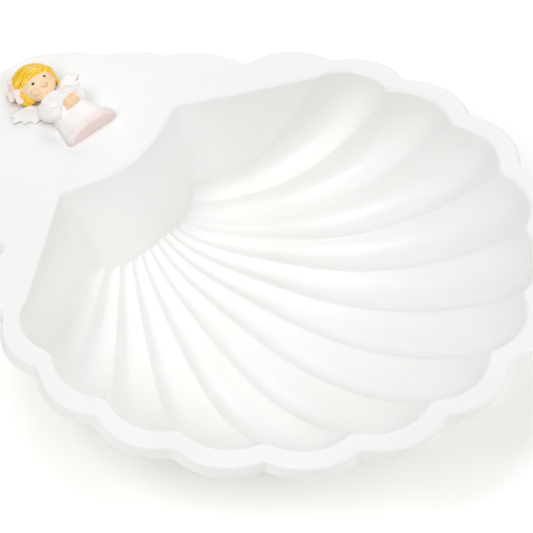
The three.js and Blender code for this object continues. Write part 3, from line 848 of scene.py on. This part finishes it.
def dish_material():
    """Smooth white moulding: a faint unevenness in tone, sheen and surface."""
    first, second = DISH_TONES
    nodes = Nodes("white_moulding", first, 0.36)
    tone = nodes.ramp(nodes.noise(scale=14.0, detail=3.0), low=0.3, high=0.7)
    nodes.link(nodes.mix(tone, linear(first), linear(second)), "Base Color")
    sheen = nodes.ramp(nodes.noise(scale=60.0, detail=4.0), low=0.3, high=0.7, to_low=0.32, to_high=0.4)
    nodes.link(sheen, "Roughness")
    nodes.coat(weight=0.1, roughness=0.2)
    nodes.bump(nodes.noise(scale=220.0, detail=3.0), distance=0.06 * MM)
    return nodes.material


def clay(name, tones, roughness, spread=0.05):
    """Modelling clay: soft blotches between two near tones and a finely uneven satin surface."""
    first, second = tones
    nodes = Nodes(name, first, roughness)
    tone = nodes.ramp(nodes.noise(scale=350.0, detail=3.0), low=0.35, high=0.65)
    nodes.colour = nodes.mix(tone, linear(first), linear(second))
    nodes.link(nodes.colour, "Base Color")
    fine = nodes.noise(scale=900.0, detail=2.0)
    nodes.link(nodes.ramp(fine, 0.3, 0.7, roughness - spread, roughness + spread), "Roughness")
    nodes.bump(nodes.noise(scale=1300.0, detail=3.0), distance=0.04 * MM)
    return nodes


def dress_material():
    """White with a pale pink hem band that is pinker on its end face."""
    nodes = clay("dress_clay", CLOTH_TONES, 0.5)
    wobble = nodes.ramp(nodes.noise(scale=300.0), low=0.3, high=0.7, to_low=-0.25, to_high=0.25)
    y = nodes.axis(nodes.angel_place(), "Y")
    down = nodes.math("SUBTRACT", nodes.math("MULTIPLY", y, -1.0), wobble)
    in_band = nodes.ramp(down, -HEM_START - 0.3, -HEM_START + 0.9)
    band = nodes.mix(in_band, nodes.colour, linear(HEM_COLOUR))
    end_y = DRESS_SECTIONS[-1][0]
    at_end = nodes.ramp(down, -end_y - 0.8, -end_y + 0.2)
    nodes.link(nodes.mix(at_end, band, linear(HEM_END_COLOUR)), "Base Color")
    return nodes.material


def sleeve_material():
    """White with a pale pink cuff next to the hands."""
    nodes = clay("sleeve_clay", CLOTH_TONES, 0.5)
    middle = (HAND_CENTRES[0] + HAND_CENTRES[1]) / 2
    far = nodes.distance(nodes.angel_place(), middle)
    past_cuff = nodes.ramp(far, CUFF_REACH - 0.4, CUFF_REACH + 0.3)
    nodes.link(nodes.mix(past_cuff, linear(CUFF_COLOUR), nodes.colour), "Base Color")
    return nodes.material


def face_material():
    """Skin with two dark eye dots, a thin brown smile under the nose and faint warm cheeks."""
    nodes = clay("face_clay", FACE_TONES, 0.42)
    place = nodes.angel_place()
    face = nodes.colour
    for cheek in CHEEK_PLACES:
        far = nodes.distance(place, cheek + Vector((0, 0, 1.3)))
        face = nodes.mix(nodes.ramp(far, 0.3, 2.6), linear(BLUSH_COLOUR), face)
    x_radius, y_radius = EYE_RADII
    for eye in EYES:
        far = nodes.distance(place, eye, (1 / x_radius, 1 / y_radius, 0.3))
        face = nodes.mix(nodes.ramp(far, 0.8, 1.15), linear(EYE_COLOUR), face)
    flat = nodes.distance(place, (*SMILE_CENTRE, 0.0), (1.0, 1.0, 0.0))
    off = nodes.math("ABSOLUTE", nodes.math("SUBTRACT", flat, SMILE_RADIUS))
    line = nodes.ramp(off, SMILE_WIDTH * 0.5, SMILE_WIDTH * 1.3, 1.0, 0.0)
    below = nodes.ramp(nodes.axis(place, "Y"), SMILE_CENTRE[1] - 0.5, SMILE_CENTRE[1] - 0.2, 1.0, 0.0)
    smile = nodes.math("MULTIPLY", nodes.math("MULTIPLY", line, below), 0.85)
    nodes.link(nodes.mix(smile, face, linear(SMILE_COLOUR)), "Base Color")
    return nodes.material


def hair_material():
    """Yellow clay with deeper orange in streaks that run from the parting."""
    nodes = clay("hair_clay", HAIR_TONES, 0.33)
    apart = nodes.vector("SUBTRACT", nodes.angel_place(), (PARTING.x, PARTING.y, 0.0))
    around = nodes.math("ARCTAN2", nodes.axis(apart, "X"), nodes.axis(apart, "Y"))
    inputs = {"W": nodes.math("MULTIPLY", around, 5.0), "Scale": 1.6, "Detail": 3.0}
    streaks = nodes.add("ShaderNodeTexNoise", inputs, noise_dimensions="1D").outputs["Fac"]
    share = nodes.ramp(streaks, low=0.52, high=0.7, to_high=0.8)
    nodes.link(nodes.mix(share, nodes.colour, linear(STREAK_COLOUR)), "Base Color")
    nodes.coat(weight=0.5, roughness=0.2)
    return nodes.material


def bow_material():
    """Pale pink that deepens toward the knot."""
    nodes = clay("bow_clay", BOW_TONES, 0.4)
    far = nodes.ramp(nodes.distance(nodes.angel_place(), BOW_KNOT), low=0.8, high=3.2)
    nodes.link(nodes.mix(far, linear(KNOT_COLOUR), nodes.colour), "Base Color")
    return nodes.material


# Stage

def toward(azimuth, elevation):
    """The direction from the dish to a place at that azimuth and elevation, in degrees."""
    a, e = math.radians(azimuth), math.radians(elevation)
    return Vector((math.sin(a) * math.cos(e), -math.cos(a) * math.cos(e), math.sin(e)))


def make_camera():
    data = bpy.data.cameras.new("camera")
    data.lens = CAMERA_LENS
    data.sensor_width = SENSOR_WIDTH
    data.clip_end = CLIP_END
    camera = bpy.data.objects.new("camera", data)
    back = toward(CAMERA_AZIMUTH, CAMERA_ELEVATION)
    camera.location = CAMERA_AIM + back * CAMERA_DISTANCE
    camera.rotation_euler = (-back).to_track_quat("-Z", "Y").to_euler()
    bpy.context.scene.collection.objects.link(camera)
    bpy.context.scene.camera = camera


def make_lights():
    world = bpy.data.worlds.new("studio")
    world.use_nodes = True
    sky = world.node_tree.nodes["Background"].inputs
    sky["Color"].default_value = (1.0, 1.0, 1.0, 1.0)
    sky["Strength"].default_value = SKY_STRENGTH
    bpy.context.scene.world = world
    for name, azimuth, elevation, distance, size, watts in LIGHTS:
        data = bpy.data.lights.new(name, "AREA")
        data.size = size
        data.energy = watts
        data.color = LIGHT_COLOUR
        light = bpy.data.objects.new(name, data)
        back = toward(azimuth, elevation)
        light.location = back * distance
        light.rotation_euler = (-back).to_track_quat("-Z", "Y").to_euler()
        bpy.context.scene.collection.objects.link(light)


def make_floor():
    bm = bmesh.new()
    bmesh.ops.create_grid(bm, x_segments=1, y_segments=1, size=FLOOR_SIZE / 2)
    mesh = bpy.data.meshes.new("floor")
    bm.to_mesh(mesh)
    bm.free()
    floor = bpy.data.objects.new("floor", mesh)
    bpy.context.scene.collection.objects.link(floor)
    nodes = Nodes("white_floor", FLOOR_COLOUR, 0.9)
    nodes.shader.inputs["Emission Color"].default_value = (1.0, 1.0, 1.0, 1.0)
    nodes.shader.inputs["Emission Strength"].default_value = FLOOR_GLOW
    floor.data.materials.append(nodes.material)


# The whole scene

bpy.context.scene.view_settings.view_transform = "Standard"
make_camera()
make_lights()
make_floor()
make_dish(dish_material())

wing_clay = clay("wing_clay", WING_TONES, 0.5).material
sleeve_clay = sleeve_material()
make_dress(dress_material())
make_hands(clay("hand_clay", HAND_TONES, 0.45).material)
make_head(face_material())
make_hair(hair_material())
make_bow(bow_material())
for side, word in ((-1, "left"), (1, "right")):
    make_sleeve(side, f"angel_sleeve_{word}", sleeve_clay)
    make_wing(side, f"angel_wing_{word}", wing_clay)
